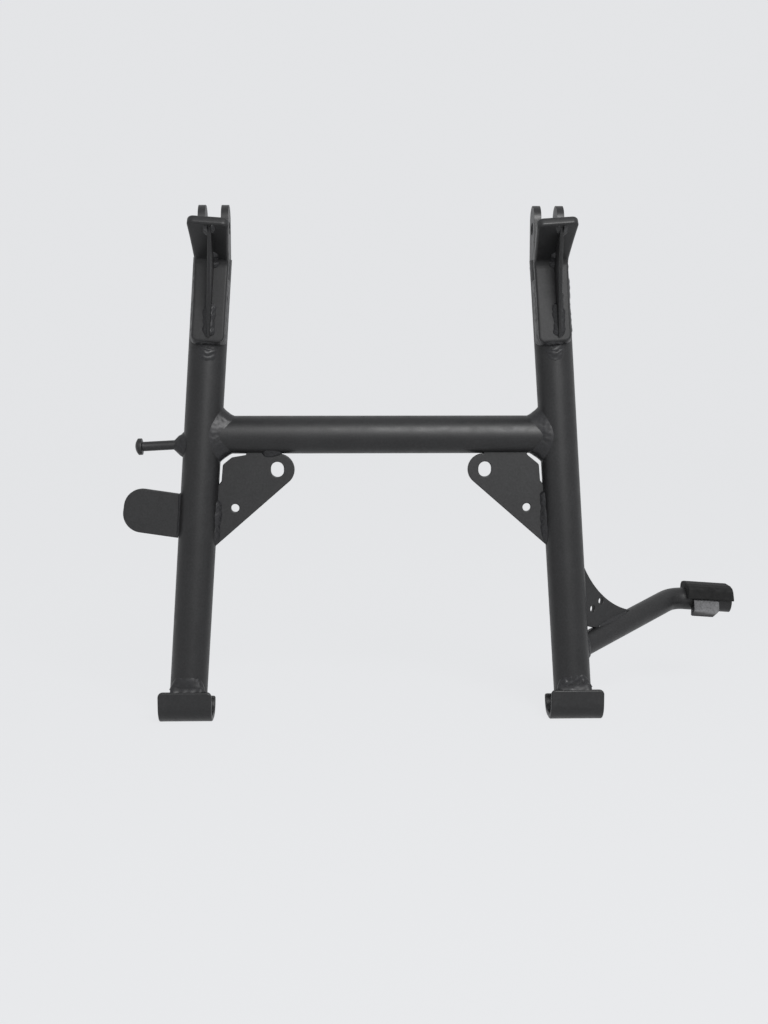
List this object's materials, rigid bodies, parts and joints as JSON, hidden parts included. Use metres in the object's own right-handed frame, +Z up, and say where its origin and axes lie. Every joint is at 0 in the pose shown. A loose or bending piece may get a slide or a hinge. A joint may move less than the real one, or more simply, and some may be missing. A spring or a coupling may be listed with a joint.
{
  "type": "motorcycle centre stand",
  "caption": "Welded tubular centre stand for a motorcycle: splayed legs with a cross tube, forked pivot ends, a foot lever with a tread pad, and bent feet.",
  "frame": {"origin": "middle of the pivot axis, halfway between the two forks", "axes": "+X along the pivot axis to the side with the foot lever (the motorcycle's left), +Y to the motorcycle's rear, +Z up with the stand down"},
  "size_m": [0.5463, 0.1744, 0.436],
  "materials": {
    "black_paint": "satin black powder coat with a fine texture",
    "painted_weld": "rippled weld under satin black powder coat",
    "rubber": "matt black rubber",
    "scuffed_paint": "satin grey, lighter than the rest"
  },
  "bodies": {
    "root": {"left_leg_tube": "black_paint", "right_leg_tube": "black_paint", "cross_tube": "black_paint", "left_pivot_fork": "black_paint", "right_pivot_fork": "black_paint", "left_stop_plate": "black_paint", "right_stop_plate": "black_paint", "left_stop_web": "black_paint", "right_stop_web": "black_paint", "left_foot": "black_paint", "right_foot": "black_paint", "left_gusset": "black_paint", "right_gusset": "black_paint", "spring_post": "black_paint", "rest_tab": "black_paint", "lever_tube": "black_paint", "lever_gusset": "black_paint", "tread_pad": "rubber", "tread_tab": "scuffed_paint", "left_cross_weld": "painted_weld", "right_cross_weld": "painted_weld", "left_stop_weld": "painted_weld", "right_stop_weld": "painted_weld", "left_foot_weld": "painted_weld", "right_foot_weld": "painted_weld", "left_gusset_weld": "painted_weld", "right_gusset_weld": "painted_weld", "spring_post_weld": "painted_weld", "rest_tab_weld": "painted_weld", "lever_weld": "painted_weld", "lever_gusset_weld": "painted_weld"}
  },
  "joints": []
}
